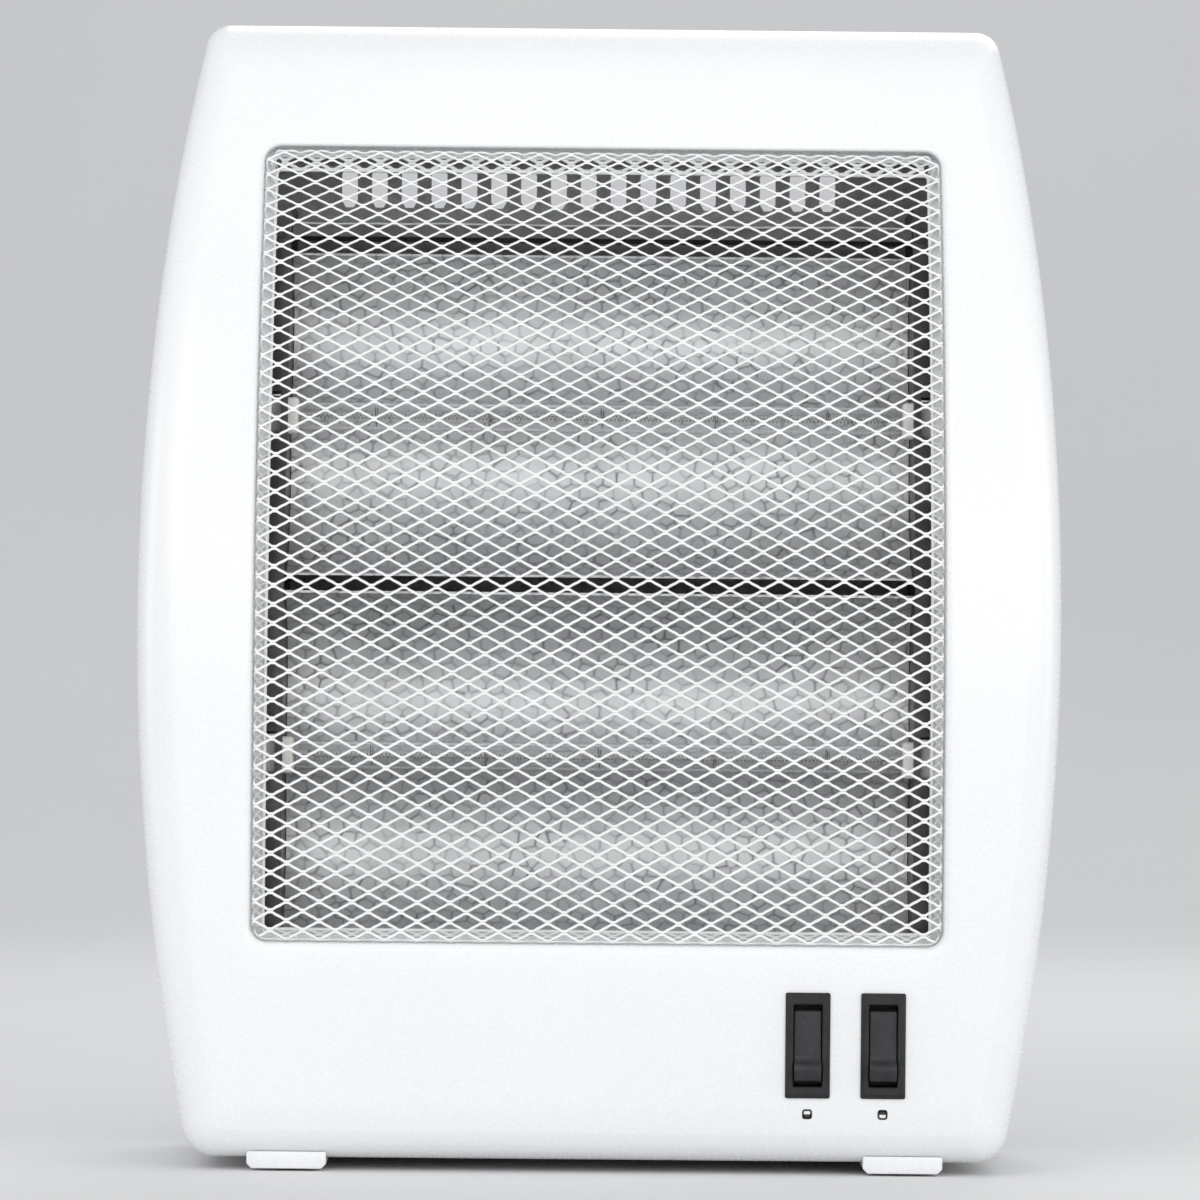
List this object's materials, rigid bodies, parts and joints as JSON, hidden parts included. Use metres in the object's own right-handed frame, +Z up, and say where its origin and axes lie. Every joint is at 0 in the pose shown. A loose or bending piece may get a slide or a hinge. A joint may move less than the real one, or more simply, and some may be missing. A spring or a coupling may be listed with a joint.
{
  "type": "halogen heater",
  "caption": "Portable halogen heater: bowed white casing and grille, two lamps on embossed reflectors, two rocker switches, low feet and a tip-over switch.",
  "frame": {"origin": "on the floor under the middle of the heater's box", "axes": "+Z up, -Y towards the front, +X to the right as seen from the front"},
  "size_m": [0.303, 0.132, 0.3828],
  "materials": {
    "white_plastic": "satin white moulded plastic",
    "white_metal": "white powder coat",
    "grey_metal": "light grey paint",
    "aluminium": "embossed bright sheet",
    "zinc": "zinc coated sheet",
    "quartz": "clear quartz",
    "tungsten": "grey filament",
    "ceramic": "opaque white ceramic",
    "spring_steel": "bright spring steel",
    "black_plastic": "fine satin black",
    "rocker_plastic": "satin black",
    "natural_plastic": "natural nylon",
    "rubber": "black rubber",
    "insulation": "silicone sleeve",
    "screw_steel": "zinc plated"
  },
  "bodies": {
    "casing": {"bottom_shield": "zinc", "cord_gland": "rubber", "foot_left": "white_plastic", "foot_pad_left_front": "rubber", "foot_pad_left_rear": "rubber", "foot_pad_right_front": "rubber", "foot_pad_right_rear": "rubber", "foot_right": "white_plastic", "foot_screw_1": "screw_steel", "foot_screw_2": "screw_steel", "foot_screw_3": "screw_steel", "foot_screw_4": "screw_steel", "front_panel": "white_plastic", "grille": "white_metal", "heat_shield_top": "zinc", "lamp_lower_cap_left": "ceramic", "lamp_lower_cap_right": "ceramic", "lamp_lower_clip_left": "spring_steel", "lamp_lower_clip_right": "spring_steel", "lamp_lower_filament": "tungsten", "lamp_lower_tube": "quartz", "lamp_upper_cap_left": "ceramic", "lamp_upper_cap_right": "ceramic", "lamp_upper_clip_left": "spring_steel", "lamp_upper_clip_right": "spring_steel", "lamp_upper_filament": "tungsten", "lamp_upper_tube": "quartz", "lead_lamp_lower_left": "insulation", "lead_lamp_lower_right": "insulation", "lead_lamp_upper_left": "insulation", "lead_lamp_upper_right": "insulation", "lead_switch_link": "insulation", "lead_tip_in": "insulation", "lead_tip_out": "insulation", "plate_screw_lower_left": "screw_steel", "plate_screw_lower_right": "screw_steel", "plate_screw_upper_left": "screw_steel", "plate_screw_upper_right": "screw_steel", "rear_cover": "grey_metal", "rear_screw_1": "screw_steel", "rear_screw_2": "screw_steel", "rear_screw_3": "screw_steel", "rear_screw_4": "screw_steel", "rear_screw_5": "screw_steel", "rear_screw_6": "screw_steel", "reflector_lower": "aluminium", "reflector_upper": "aluminium", "side_plate_left": "zinc", "side_plate_right": "zinc", "switch_left_body": "black_plastic", "switch_right_body": "black_plastic", "terminal_block": "natural_plastic", "tip_spring": "spring_steel", "tip_switch_body": "black_plastic", "tip_switch_bracket": "zinc"},
    "rocker_left": {"switch_left_rocker": "rocker_plastic"},
    "rocker_right": {"switch_right_rocker": "rocker_plastic"},
    "plunger": {"tip_plunger": "natural_plastic"},
    "lever": {"tip_switch_lever": "spring_steel"}
  },
  "joints": [
    {"name": "switch_left_rock", "type": "hinge", "parent": "casing", "child": "rocker_left", "pos_m": [0.0691, -0.0575, 0.0428], "axis": [1, 0, 0], "range_deg": [0, 16]},
    {"name": "switch_right_rock", "type": "hinge", "parent": "casing", "child": "rocker_right", "pos_m": [0.0937, -0.0575, 0.0428], "axis": [1, 0, 0], "range_deg": [0, 16]},
    {"name": "tip_plunger_slide", "type": "slide", "parent": "casing", "child": "plunger", "axis": [0, 0, -1], "range_m": [0, 0.006], "stiffness_N_per_m": 130, "springref_m": 0.01, "deforming": ["tip_spring"]},
    {"name": "tip_lever_hinge", "type": "hinge", "parent": "casing", "child": "lever", "pos_m": [-0.015, 0.018, 0.03225], "axis": [0, 1, 0], "range_deg": [0, 10]}
  ],
  "couplings": [
    {"joint": "tip_lever_hinge", "follows": "tip_plunger_slide", "rad_per_m": 29}
  ]
}
